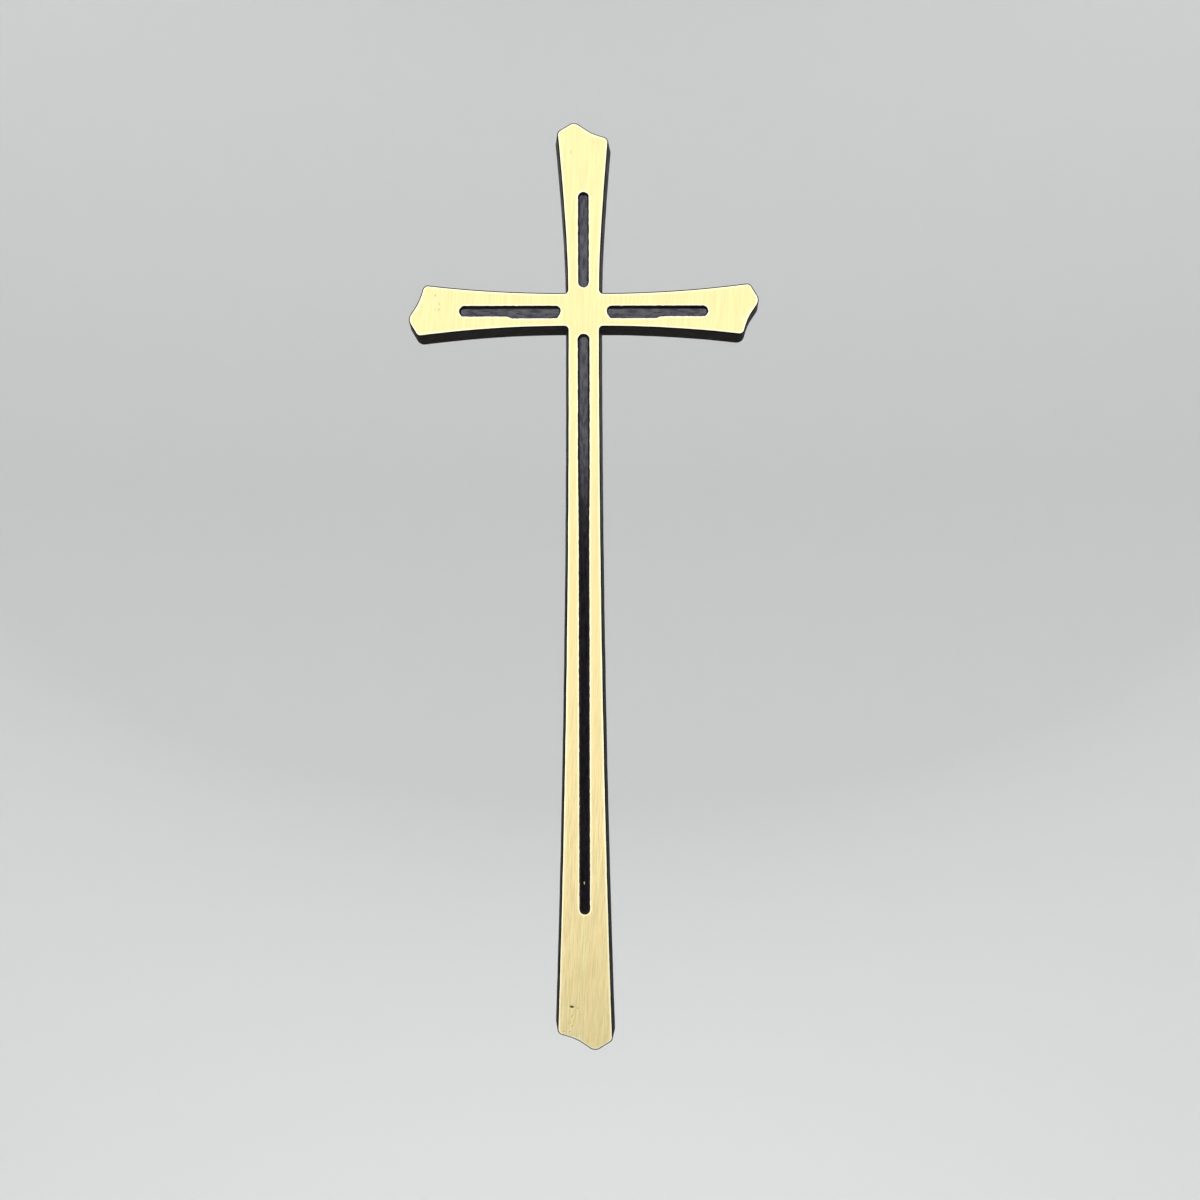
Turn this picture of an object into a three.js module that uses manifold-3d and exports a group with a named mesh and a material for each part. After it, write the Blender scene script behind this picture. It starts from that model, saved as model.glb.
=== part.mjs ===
// Decorative cross for a gravestone, cast in bronze as one piece and fixed flat against the stone.
// Millimetres. +Z points up along the upper arm, +X to the right as seen from the front, -Y to the front.
// The origin is on the flat back, where the middle lines of the shaft and the crossbar meet.
import * as THREE from 'three';
import Module from 'manifold-3d';
import { mergeVertices } from 'three/addons/utils/BufferGeometryUtils.js';

// Driving dimensions. Widths and reaches are those of the flat front face.
// A reach runs from the crossing to an arm's tip before the tip is rounded.
const THICKNESS = 9;
const WALL_SPLAY = 1.2; // how far the foot of the side walls stands out beyond the front face
const ARRIS_RADIUS = 0.4; // small round between the front face and the side walls

const TOP_REACH = 60.2;
const SIDE_REACH = 56.4;
const FOOT_REACH = 238.15;
const TOP_WAIST = 9.75; // width of the upper arm where it leaves the crossing
const BAR_WAIST = 10.15; // width of the crossbar there
const SHAFT_WAIST = 9.6; // width of the shaft there
const ARM_END_WIDTH = 15.9; // width across the two corners of the three short arms
const FOOT_WIDTH = 17.15; // width across the two corners of the foot
const END_LEAN = 0.2; // how far the end of a short arm swings to the side of its tip
const TOP_FLARE_BEND = 0.33; // where an arm's flared flanks bend most, as a share of their length
const SIDE_FLARE_BEND = 0.5;
const FOOT_FLARE_BEND = 0.5;
const BACK_CORNER_RADIUS = 0.2; // round of the four inside corners, measured at the back

// Form of an arm's end, as shares of the width across its corners
const TIP_ASIDE = 0.185; // the tip stands this far beside the arm's middle line
const NEAR_DROP = 0.198; // the corner beside the tip lies this far below it
const HOLLOW_ASIDE = 0.155; // the slack bend in the long slope, on the other side of the middle line
const HOLLOW_DROP = 0.232;
const FAR_DROP = 0.333;
const TIP_RADIUS = 2.6;
const CORNER_RADIUS = 1.5;
const HOLLOW_RADIUS = 16;

// Sunk grooves, one along each arm
const GROOVE_DEPTH = 2;
const GROOVE_WIDTH = 3.55;
const BAR_WIDE_GROOVE_WIDTH = 4.15; // of the crossbar's grooves near the crossing
const SHAFT_WIDE_GROOVE_WIDTH = 3.9; // of the shaft's groove near the crossing
const GROOVE_WALL_SLOPE = 0.3; // how far each groove wall leans in on its way down
const GROOVE_FLOOR_RADIUS = 0.3;
const GROOVE_ASIDE = 0.05; // the upright grooves sit this far to the left of the middle line
const GROOVE_SAG = 0.4; // the crossbar's grooves sit this far below the middle line
const WIDE_GROOVE_SAG = 0.7; // their wide stretch hangs lower, because only its lower edge steps out
const GROOVE_SLANT = THREE.MathUtils.degToRad(30); // of the crossbar grooves' heads on that side
const SLANT_FLOOR_RADIUS = 0.2; // round where the slant meets the wide edge, measured at the floor
const TOP_LAND = 2.1; // plain metal between the upper arm's groove and the crossbar
const SHAFT_LAND = 2.6; // plain metal between the shaft's groove and the crossbar
const BAR_LAND = 2.55; // plain metal between a crossbar groove and the shaft
const TOP_TIP_LAND = 22.25; // plain metal between a groove and the tip of its arm
const SIDE_TIP_LAND = 16.3;
const FOOT_TIP_LAND = 43.7;
const SIDE_NARROWING_AT = 0.51; // where a crossbar groove narrows, as a share of its length
const SIDE_NARROWING_LENGTH = 2.4;
const SHAFT_NARROWING_AT = 0.28; // where the shaft's groove narrows, as a share of its length
const SHAFT_NARROWING_LENGTH = 24;

// Fineness of the facets
const ARC_STEP = THREE.MathUtils.degToRad(9);
const FLANK_STEP = 7; // longest facet along a curved flank
const NARROWING_STEPS = 6;
const ARRIS_STEPS = 3;
const FLOOR_STEPS = 2;
const CUT_CLEARANCE = 1; // how far a cutting solid stands out of the front face
const TRIM_SHARE = 0.48; // a corner's round takes at most this share of the edges beside it

const FRONT = -THICKNESS;
const insideCornerRadius = WALL_SPLAY + BACK_CORNER_RADIUS;
const slantCornerRadius = GROOVE_WALL_SLOPE + GROOVE_FLOOR_RADIUS + SLANT_FLOOR_RADIUS;

// An arm points outwards along out. Its aside direction is out turned counter-clockwise as seen from
// the front.
function makeArm(outX, outZ, sizes) {
  return { out: new THREE.Vector2(outX, outZ), aside: new THREE.Vector2(-outZ, outX), ...sizes };
}

const bar = {
  reach: SIDE_REACH, waist: BAR_WAIST, crossed: SHAFT_WAIST, flareBend: SIDE_FLARE_BEND,
  endWidth: ARM_END_WIDTH, lean: END_LEAN, tipLand: SIDE_TIP_LAND, crossingLand: BAR_LAND,
  wideGroove: BAR_WIDE_GROOVE_WIDTH,
  narrowing: { at: SIDE_NARROWING_AT, length: SIDE_NARROWING_LENGTH },
};
const arms = {
  top: makeArm(0, 1, {
    reach: TOP_REACH, waist: TOP_WAIST, crossed: BAR_WAIST, flareBend: TOP_FLARE_BEND,
    endWidth: ARM_END_WIDTH, lean: END_LEAN, tipLand: TOP_TIP_LAND, crossingLand: TOP_LAND,
    wideGroove: GROOVE_WIDTH, narrowing: null, shift: GROOVE_ASIDE, wideShift: GROOVE_ASIDE,
  }),
  left: makeArm(-1, 0, { ...bar, shift: GROOVE_SAG, wideShift: WIDE_GROOVE_SAG }),
  foot: makeArm(0, -1, {
    reach: FOOT_REACH, waist: SHAFT_WAIST, crossed: BAR_WAIST, flareBend: FOOT_FLARE_BEND,
    endWidth: FOOT_WIDTH, lean: 0, tipLand: FOOT_TIP_LAND, crossingLand: SHAFT_LAND,
    wideGroove: SHAFT_WIDE_GROOVE_WIDTH,
    narrowing: { at: SHAFT_NARROWING_AT, length: SHAFT_NARROWING_LENGTH },
    shift: -GROOVE_ASIDE, wideShift: -GROOVE_ASIDE,
  }),
  right: makeArm(1, 0, { ...bar, shift: -GROOVE_SAG, wideShift: -WIDE_GROOVE_SAG }),
};

// A place on an arm, along its middle line and to its aside
function onArm(arm, along, aside) {
  return arm.out.clone().multiplyScalar(along).addScaledVector(arm.aside, aside);
}

// The corners of one arm, counter-clockwise from the inside corner where it leaves the arm before it.
// A bend pulls the edge that follows its corner into the curve of a flared flank.
function armCorners(arm, armBefore) {
  const width = arm.endWidth;
  const half = width / 2;
  const start = arm.crossed / 2;
  const inside = onArm(arm, armBefore.waist / 2, -arm.waist / 2);
  const farAlong = arm.reach - FAR_DROP * width;
  const nearAlong = arm.reach - NEAR_DROP * width;
  return [
    {
      at: inside,
      radius: insideCornerRadius,
      bend: onArm(arm, THREE.MathUtils.lerp(start, farAlong, arm.flareBend), -arm.waist / 2),
    },
    { at: onArm(arm, farAlong, arm.lean - half), radius: CORNER_RADIUS },
    { at: onArm(arm, arm.reach - HOLLOW_DROP * width, -HOLLOW_ASIDE * width), radius: HOLLOW_RADIUS },
    { at: onArm(arm, arm.reach, TIP_ASIDE * width), radius: TIP_RADIUS },
    {
      at: onArm(arm, nearAlong, arm.lean + half),
      radius: CORNER_RADIUS,
      bend: onArm(arm, THREE.MathUtils.lerp(start, nearAlong, arm.flareBend), arm.waist / 2),
    },
  ];
}

// The points of a corner's round, between the directions in which the outline comes and goes
function roundCorner(at, radius, comesFrom, goesTo) {
  const incoming = at.clone().sub(comesFrom);
  const outgoing = goesTo.clone().sub(at);
  const room = TRIM_SHARE * Math.min(incoming.length(), outgoing.length());
  incoming.normalize();
  outgoing.normalize();
  const turn = Math.atan2(incoming.cross(outgoing), incoming.dot(outgoing));
  const steepness = Math.tan(Math.abs(turn) / 2);
  const trim = Math.min(radius * steepness, room);
  const round = trim / steepness;
  const start = at.clone().addScaledVector(incoming, -trim);
  const inwards = new THREE.Vector2(-incoming.y, incoming.x).multiplyScalar(Math.sign(turn));
  const centre = start.clone().addScaledVector(inwards, round);
  const startAngle = start.clone().sub(centre).angle();
  const steps = Math.max(2, Math.ceil(Math.abs(turn) / ARC_STEP));
  const arc = new THREE.ArcCurve(centre.x, centre.y, round, startAngle, startAngle + turn, turn < 0);
  return arc.getPoints(steps);
}

// The whole outline, counter-clockwise as seen from the front
function traceOutline(corners) {
  const count = corners.length;
  const rounds = corners.map((corner, i) => {
    const before = corners[(i + count - 1) % count];
    const after = corners[(i + 1) % count];
    return roundCorner(corner.at, corner.radius, before.bend ?? before.at, corner.bend ?? after.at);
  });
  const points = [];
  corners.forEach((corner, i) => {
    const start = rounds[i].at(-1);
    const end = rounds[(i + 1) % count][0];
    points.push(...rounds[i]);
    if (corner.bend) {
      const flank = new THREE.QuadraticBezierCurve(start, corner.bend, end);
      const steps = Math.ceil(start.distanceTo(end) / FLANK_STEP);
      points.push(...flank.getPoints(steps).slice(1, -1));
    }
  });
  return points;
}

// The places along a groove where it eases from its wide stretch to its narrow one
function narrowingPlaces(arm, start, end) {
  const places = [];
  if (arm.narrowing === null) {
    return places;
  }
  const middle = THREE.MathUtils.lerp(start, end, arm.narrowing.at);
  for (let i = 0; i <= NARROWING_STEPS; i += 1) {
    const share = i / NARROWING_STEPS;
    const eased = THREE.MathUtils.smoothstep(share, 0, 1);
    places.push({
      along: middle + arm.narrowing.length * (share - 0.5),
      half: THREE.MathUtils.lerp(arm.wideGroove, GROOVE_WIDTH, eased) / 2,
      shift: THREE.MathUtils.lerp(arm.wideShift, arm.shift, eased),
    });
  }
  return places;
}

// Part of the round nose at a groove's crossing end. Angles run from the nose's tip, positive to the
// arm's aside.
function groovePlace(arm, start, shift, radius, angle) {
  return onArm(arm, start + radius * (1 - Math.cos(angle)), shift + radius * Math.sin(angle));
}

// A groove's crossing end, from its aside edge to its other edge. It is half round. Where only one edge
// steps out to the wide stretch, the nose keeps to the narrow width and runs out to that edge by a slant.
function grooveHead(arm, start) {
  const side = Math.sign(arm.wideShift - arm.shift);
  const radius = (side === 0 ? arm.wideGroove : GROOVE_WIDTH) / 2;
  const lastAngle = side === 0 ? Math.PI / 2 : GROOVE_SLANT;
  const steps = Math.ceil((lastAngle + Math.PI / 2) / ARC_STEP);
  const nose = [];
  for (let i = 0; i <= steps; i += 1) {
    const angle = THREE.MathUtils.lerp(lastAngle, -Math.PI / 2, i / steps);
    nose.push(groovePlace(arm, start, arm.shift, radius, side < 0 ? -angle : angle));
  }
  if (side === 0) {
    return nose;
  }
  const edge = arm.wideShift + side * (arm.wideGroove / 2);
  const rise = Math.abs(edge - arm.shift) - radius * Math.sin(GROOVE_SLANT);
  const along = start + radius * (1 - Math.cos(GROOVE_SLANT)) + rise * Math.tan(GROOVE_SLANT);
  const corner = onArm(arm, along, edge);
  const beyond = onArm(arm, along + radius, edge);
  const head = [...roundCorner(corner, slantCornerRadius, beyond, nose[0]), ...nose];
  return side > 0 ? head : head.reverse();
}

// A groove that is wide near the crossing and narrow further out
function grooveOutline(arm) {
  const start = arm.crossed / 2 + arm.crossingLand;
  const end = arm.reach - arm.tipLand;
  const narrowHalf = GROOVE_WIDTH / 2;
  const endSteps = Math.ceil(Math.PI / ARC_STEP);
  const places = narrowingPlaces(arm, start, end);
  const points = grooveHead(arm, start);
  for (const place of places) {
    points.push(onArm(arm, place.along, place.shift - place.half));
  }
  for (let i = 0; i <= endSteps; i += 1) {
    const angle = Math.PI * (i / endSteps);
    const along = end - narrowHalf + narrowHalf * Math.sin(angle);
    points.push(onArm(arm, along, arm.shift - narrowHalf * Math.cos(angle)));
  }
  for (const place of places.reverse()) {
    points.push(onArm(arm, place.along, place.shift + place.half));
  }
  return points;
}

// The outline moved outwards by a distance, or inwards by a negative one
function offsetOutline(outline, distance) {
  const count = outline.length;
  return outline.map((point, i) => {
    const incoming = point.clone().sub(outline[(i + count - 1) % count]).normalize();
    const outgoing = outline[(i + 1) % count].clone().sub(point).normalize();
    const outwards = new THREE.Vector2(incoming.y + outgoing.y, -incoming.x - outgoing.x);
    return point.clone().addScaledVector(outwards, distance / (1 + incoming.dot(outgoing)));
  });
}

// A closed solid whose outline grows from level to level; depth is measured back from the front face
function loft(outline, levels) {
  const count = outline.length;
  const positions = [];
  for (const level of levels) {
    for (const point of offsetOutline(outline, level.grow)) {
      positions.push(point.x, FRONT + level.depth, point.y);
    }
  }
  const faces = [];
  const lastRing = (levels.length - 1) * count;
  for (const [a, b, c] of THREE.ShapeUtils.triangulateShape(outline, [])) {
    faces.push(a, b, c);
    faces.push(lastRing + a, lastRing + c, lastRing + b);
  }
  for (let ring = 0; ring < lastRing; ring += count) {
    for (let i = 0; i < count; i += 1) {
      const next = (i + 1) % count;
      faces.push(ring + i, ring + count + i, ring + next);
      faces.push(ring + next, ring + count + i, ring + count + next);
    }
  }
  const geometry = new THREE.BufferGeometry();
  geometry.setAttribute('position', new THREE.Float32BufferAttribute(positions, 3));
  geometry.setIndex(faces);
  return geometry;
}

// The levels of the quarter round between the front face and the side walls
function arrisLevels() {
  const levels = [];
  for (let i = 0; i <= ARRIS_STEPS; i += 1) {
    const angle = (Math.PI / 2) * (i / ARRIS_STEPS);
    levels.push({ depth: ARRIS_RADIUS * (1 - Math.cos(angle)), grow: ARRIS_RADIUS * Math.sin(angle) });
  }
  return levels;
}

// The levels of the quarter round between a groove's walls and its floor
function floorLevels() {
  const levels = [];
  for (let i = 0; i <= FLOOR_STEPS; i += 1) {
    const angle = (Math.PI / 2) * (i / FLOOR_STEPS);
    levels.push({
      depth: GROOVE_DEPTH - GROOVE_FLOOR_RADIUS * (1 - Math.sin(angle)),
      grow: -GROOVE_WALL_SLOPE - GROOVE_FLOOR_RADIUS * (1 - Math.cos(angle)),
    });
  }
  return levels;
}

const wasm = await Module();
wasm.setup();

function toSolid(geometry) {
  const merged = mergeVertices(geometry);
  const vertProperties = new Float32Array(merged.attributes.position.array);
  const triVerts = new Uint32Array(merged.index.array);
  return new wasm.Manifold(new wasm.Mesh({ numProp: 3, vertProperties, triVerts }));
}

function toGeometry(solid) {
  const mesh = solid.getMesh();
  const geometry = new THREE.BufferGeometry();
  geometry.setAttribute('position', new THREE.Float32BufferAttribute(mesh.vertProperties, 3));
  geometry.setIndex([...mesh.triVerts]);
  geometry.computeVertexNormals();
  return geometry;
}

function makeCross() {
  const order = [arms.top, arms.left, arms.foot, arms.right];
  const corners = order.flatMap((arm, i) => armCorners(arm, order[(i + order.length - 1) % order.length]));
  const bodyLevels = [...arrisLevels(), { depth: THICKNESS, grow: WALL_SPLAY }];
  let body = toSolid(loft(traceOutline(corners), bodyLevels));
  const grooveLevels = [{ depth: -CUT_CLEARANCE, grow: 0 }, { depth: 0, grow: 0 }, ...floorLevels()];
  for (const arm of order) {
    body = body.subtract(toSolid(loft(grooveOutline(arm), grooveLevels)));
  }
  return toGeometry(body);
}

const bronze = new THREE.MeshStandardMaterial({ color: 0xd9c27a, roughness: 0.38, metalness: 1 });
const cross = new THREE.Mesh(makeCross(), bronze);
cross.name = 'cross';

const group = new THREE.Group();
group.add(cross);

export default group;
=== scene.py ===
# A cast bronze grave cross: linished front face, dark cast walls, sunk grooves.
import math

import bpy
from mathutils import Matrix, Vector, noise
from mathutils.geometry import delaunay_2d_cdt
from mathutils.kdtree import KDTree


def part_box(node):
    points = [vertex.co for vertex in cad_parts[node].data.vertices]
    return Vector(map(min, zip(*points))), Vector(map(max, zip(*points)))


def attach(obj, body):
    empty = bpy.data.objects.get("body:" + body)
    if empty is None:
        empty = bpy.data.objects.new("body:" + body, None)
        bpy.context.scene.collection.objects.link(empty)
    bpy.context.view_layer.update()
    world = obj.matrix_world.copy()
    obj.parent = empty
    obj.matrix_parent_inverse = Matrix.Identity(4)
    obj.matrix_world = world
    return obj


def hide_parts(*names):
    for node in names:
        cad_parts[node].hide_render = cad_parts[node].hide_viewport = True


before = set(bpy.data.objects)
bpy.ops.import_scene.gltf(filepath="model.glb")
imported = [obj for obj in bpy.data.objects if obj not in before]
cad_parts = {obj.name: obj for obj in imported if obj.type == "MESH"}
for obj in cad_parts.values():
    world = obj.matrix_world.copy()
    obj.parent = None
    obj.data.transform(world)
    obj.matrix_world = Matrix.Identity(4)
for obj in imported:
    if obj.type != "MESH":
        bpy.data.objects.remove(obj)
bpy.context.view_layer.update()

MM = 0.001
BODY = "root"
NODE = "cross"
low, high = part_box(NODE)

# Sizes of the casting. Widths are those of the flat front face.
FRONT = low[1]
BACK = high[1]
WALL_SPLAY = 1.2 * MM
ARRIS_RADIUS = 0.4 * MM
BACK_ARRIS = 0.25 * MM
BACK_CORNER_RADIUS = 0.2 * MM
TOP_WAIST = 9.75 * MM
BAR_WAIST = 10.15 * MM
SHAFT_WAIST = 9.6 * MM
ARM_END_WIDTH = 15.9 * MM
FOOT_WIDTH = 17.15 * MM
END_LEAN = 0.2 * MM
TOP_FLARE_BEND = 0.33
FLARE_BEND = 0.5

# Form of an arm's end, as shares of the width across its corners
TIP_ASIDE = 0.185
NEAR_DROP = 0.198
HOLLOW_ASIDE = 0.155
HOLLOW_DROP = 0.232
FAR_DROP = 0.333
TIP_RADIUS = 2.6 * MM
CORNER_RADIUS = 1.5 * MM
HOLLOW_RADIUS = 16 * MM

# Sunk grooves
GROOVE_DEPTH = 2 * MM
GROOVE_WIDTH = 3.55 * MM
BAR_WIDE_GROOVE_WIDTH = 4.15 * MM
SHAFT_WIDE_GROOVE_WIDTH = 3.9 * MM
GROOVE_WALL_SLOPE = 0.3 * MM
GROOVE_FLOOR_RADIUS = 0.3 * MM
GROOVE_LIP = 0.12 * MM
FLOOR_RIM = 0.07 * MM
GROOVE_ASIDE = 0.05 * MM
GROOVE_SAG = 0.4 * MM
WIDE_GROOVE_SAG = 0.7 * MM
GROOVE_SLANT = math.radians(30)
SLANT_CORNER_RADIUS = 0.8 * MM
TOP_LAND = 2.1 * MM
SHAFT_LAND = 2.6 * MM
BAR_LAND = 2.55 * MM
TOP_TIP_LAND = 22.25 * MM
SIDE_TIP_LAND = 16.3 * MM
FOOT_TIP_LAND = 43.7 * MM
SIDE_NARROWING = (0.51, 2.4 * MM)
SHAFT_NARROWING = (0.28, 24 * MM)

# Fineness of the mesh
ARC_STEP = math.radians(6)
LEAST_ARC_STEPS = 3
FLANK_STEP = 0.7 * MM
GROOVE_STEP = 0.35 * MM
ARRIS_ROWS = 5
WALL_ROWS = 10
SMALL_ROWS = 3
FACE_GRID = 1.3 * MM
BACK_GRID = 1.0 * MM
FLOOR_GRID = 0.6 * MM
GRID_CLEARANCE = 0.7
NARROWING_STEPS = 8
RIM_SHARES = (0.33, 0.66, 1.0)
MARK_RINGS = (0.3, 0.6, 0.85, 1.1, 1.5)
MARK_TURNS = 12

# The studio, in metres
FLOOR_DROP = 0.6
FLOOR_FLAT = 1.3
FLOOR_SWEEP = 1.0
SWEEP_STEPS = 12
WALL_HEIGHT = 2.2
WALL_TURNS = 96
PANEL_AWAY = 1.3
PANEL_TOP = 1.4
PANEL_EDGE = 0.07
PANEL_FOOT = -0.8
PANEL_HALF_WIDTH = 1.3
GAP_HALF_WIDTH = 0.36
CARD_AWAY = 1.28
OVERHEAD_HEIGHT = 1.9
OVERHEAD_WIDTH = 3.4
BACK_LIGHT_PLACE = (0, 1.7, 0.6)
BACK_LIGHT_FACING = (0, -1, -0.3)
BACK_LIGHT_WIDTH = 2.0
BACK_LIGHT_HEIGHT = 1.2

# Brightness of the lights, as a mirror would show them
UPPER_BRIGHTNESS = 0.83
SIDE_BRIGHTNESS = 2.95
OVERHEAD_BRIGHTNESS = 1.1
BACK_LIGHT_BRIGHTNESS = 1.2
ROOM_BRIGHTNESS = 0.7

# The camera. The photograph's middle lies this far to the right of the crossing and below it
VIEW_ASIDE = 5.05 * MM
VIEW_BELOW = 93.3 * MM
VIEW_DISTANCE = 375 * MM
VIEW_ROLL = math.radians(0.12)

# Wear and foundry marks
# EDGE_WIDTH also sets the pale band along the face's edges, partly wear and partly a painted highlight
EDGE_WIDTH = 0.85 * MM
BELT_LEAN = math.radians(3)
ROLL_OFF = 0.02 * MM
OUTLINE_WOBBLE = 0.04 * MM
OUTLINE_WAVE = 9 * MM
NIBBLE = 0.1 * MM
NIBBLE_WAVE = 1.3 * MM
SMALL_WAVE_SHARE = 0.6
SMALL_WAVE_PACE = 2.7
BURR_PLACE = Vector((-0.2, 0, -184.8)) * MM
BURR_HALF = Vector((0.24, 0.18, 0.55)) * MM
BURR_TURNS = 10
BURR_ROWS = 5
SEED = 11

# How rough the cast skin is, from none to full
ARRIS_CAST = 0.2
FLOOR_CAST = 0.4
NODULE_CAST = 0.7
FULL_CAST = 1.0

# Nodules: height against width, and the spread of their sizes
NODULE_FLATNESS = 0.45
NODULE_SIZES = (0.45, 1.3)

# Ranges of a noise that make it soft patches, or scattered grains
PATCHES = (0.38, 0.62)
SPECKS = (0.55, 0.8)


def share_between(a, b, share):
    """The value that lies this share of the way from a to b."""
    return a + (b - a) * share


def ease(share):
    """A share that starts and ends gently."""
    return share * share * (3 - 2 * share)


def quarter_turn(rows):
    """The angles of a small rounding, row by row after its start."""
    return [math.pi / 2 * i / rows for i in range(1, rows + 1)]


def tip_blunting(width, lean):
    """How far the rounding of a tip lowers it."""
    near = math.atan(NEAR_DROP / (0.5 + lean / width - TIP_ASIDE))
    far = math.atan(HOLLOW_DROP / (TIP_ASIDE + HOLLOW_ASIDE))
    half_angle = (math.pi - near - far) / 2
    return TIP_RADIUS * (math.cos((far - near) / 2) / math.sin(half_angle) - 1)


class Arm:
    """One arm: out points outwards, aside is out turned counter-clockwise as seen from the front."""

    def __init__(self, out, box_reach, waist, crossed, end_width, lean, bend, tip_land, land):
        self.out = Vector(out)
        self.aside = Vector((-out[1], out[0]))
        self.waist = waist
        self.crossed = crossed
        self.end_width = end_width
        self.lean = lean
        self.bend = bend
        self.reach = box_reach - WALL_SPLAY + tip_blunting(end_width, lean)
        self.groove_start = crossed / 2 + land
        self.groove_end = self.reach - tip_land

    def cut(self, wide, narrowing, shift, wide_shift):
        """Sets the form of the arm's groove."""
        self.wide = wide
        self.narrowing = narrowing
        self.shift = shift
        self.wide_shift = wide_shift

    def at(self, along, aside):
        """The place this far out along the arm and this far to its side."""
        return self.out * along + self.aside * aside


def make_arms():
    """The four arms, counter-clockwise from the upper one."""
    top = Arm((0, 1), high[2], TOP_WAIST, BAR_WAIST, ARM_END_WIDTH, END_LEAN, TOP_FLARE_BEND,
              TOP_TIP_LAND, TOP_LAND)
    left = Arm((-1, 0), -low[0], BAR_WAIST, SHAFT_WAIST, ARM_END_WIDTH, END_LEAN, FLARE_BEND,
               SIDE_TIP_LAND, BAR_LAND)
    foot = Arm((0, -1), -low[2], SHAFT_WAIST, BAR_WAIST, FOOT_WIDTH, 0, FLARE_BEND,
               FOOT_TIP_LAND, SHAFT_LAND)
    right = Arm((1, 0), high[0], BAR_WAIST, SHAFT_WAIST, ARM_END_WIDTH, END_LEAN, FLARE_BEND,
                SIDE_TIP_LAND, BAR_LAND)
    top.cut(GROOVE_WIDTH, None, GROOVE_ASIDE, GROOVE_ASIDE)
    left.cut(BAR_WIDE_GROOVE_WIDTH, SIDE_NARROWING, GROOVE_SAG, WIDE_GROOVE_SAG)
    foot.cut(SHAFT_WIDE_GROOVE_WIDTH, SHAFT_NARROWING, -GROOVE_ASIDE, -GROOVE_ASIDE)
    right.cut(BAR_WIDE_GROOVE_WIDTH, SIDE_NARROWING, -GROOVE_SAG, -WIDE_GROOVE_SAG)
    return [top, left, foot, right]


def arm_corners(arm, before):
    """Corners of one arm as (place, radius, bend of the edge that follows)."""
    width = arm.end_width
    half = width / 2
    start = arm.crossed / 2
    far = arm.reach - FAR_DROP * width
    near = arm.reach - NEAR_DROP * width
    return [
        (arm.at(before.waist / 2, -arm.waist / 2), WALL_SPLAY + BACK_CORNER_RADIUS,
         arm.at(share_between(start, far, arm.bend), -arm.waist / 2)),
        (arm.at(far, arm.lean - half), CORNER_RADIUS, None),
        (arm.at(arm.reach - HOLLOW_DROP * width, -HOLLOW_ASIDE * width), HOLLOW_RADIUS, None),
        (arm.at(arm.reach, TIP_ASIDE * width), TIP_RADIUS, None),
        (arm.at(near, arm.lean + half), CORNER_RADIUS,
         arm.at(share_between(start, near, arm.bend), arm.waist / 2)),
    ]


def round_corner(place, radius, comes_from, goes_to):
    """Points of the arc that rounds a corner."""
    incoming = (place - comes_from).normalized()
    outgoing = (goes_to - place).normalized()
    turn = math.atan2(incoming.x * outgoing.y - incoming.y * outgoing.x, incoming.dot(outgoing))
    start = place - incoming * radius * math.tan(abs(turn) / 2)
    inwards = Vector((-incoming.y, incoming.x)) * math.copysign(1, turn)
    centre = start + inwards * radius
    steps = max(LEAST_ARC_STEPS, math.ceil(abs(turn) / ARC_STEP))
    spoke = start - centre
    return [centre + Matrix.Rotation(turn * i / steps, 2) @ spoke for i in range(steps + 1)]


def trace_outline(corners):
    """The outline of the front face, counter-clockwise as seen from the front."""
    count = len(corners)
    rounds = []
    for i, (place, radius, bend) in enumerate(corners):
        before = corners[i - 1]
        after = corners[(i + 1) % count]
        rounds.append(round_corner(place, radius, before[2] or before[0], bend or after[0]))
    points = []
    for i, (place, radius, bend) in enumerate(corners):
        start = rounds[i][-1]
        end = rounds[(i + 1) % count][0]
        middle = bend or (start + end) / 2
        steps = max(1, round((end - start).length / FLANK_STEP))
        points += rounds[i]
        for k in range(1, steps):
            t = k / steps
            points.append(start * (1 - t) ** 2 + middle * 2 * t * (1 - t) + end * t * t)
    return points


def groove_head(arm):
    """A groove's crossing end, from its aside edge to its other edge.

    It is half round. Where only one edge steps out to the wide stretch, the nose keeps to the
    narrow width and runs out to that edge by a slant.
    """
    side = 0 if arm.wide_shift == arm.shift else math.copysign(1, arm.wide_shift - arm.shift)
    radius = (GROOVE_WIDTH if side else arm.wide) / 2
    last_angle = GROOVE_SLANT if side else math.pi / 2
    steps = math.ceil((last_angle + math.pi / 2) / ARC_STEP)
    nose = []
    for i in range(steps + 1):
        angle = share_between(last_angle, -math.pi / 2, i / steps)
        nose.append(arm.at(arm.groove_start + radius * (1 - math.cos(angle)),
                           arm.shift + radius * math.sin(angle) * (side or 1)))
    if not side:
        return nose
    edge = arm.wide_shift + side * arm.wide / 2
    rise = abs(edge - arm.shift) - radius * math.sin(GROOVE_SLANT)
    along = (arm.groove_start + radius * (1 - math.cos(GROOVE_SLANT))
             + rise * math.tan(GROOVE_SLANT))
    corner = round_corner(arm.at(along, edge), SLANT_CORNER_RADIUS,
                          arm.at(along + radius, edge), nose[0])
    head = corner + nose
    return head if side > 0 else head[::-1]


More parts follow.
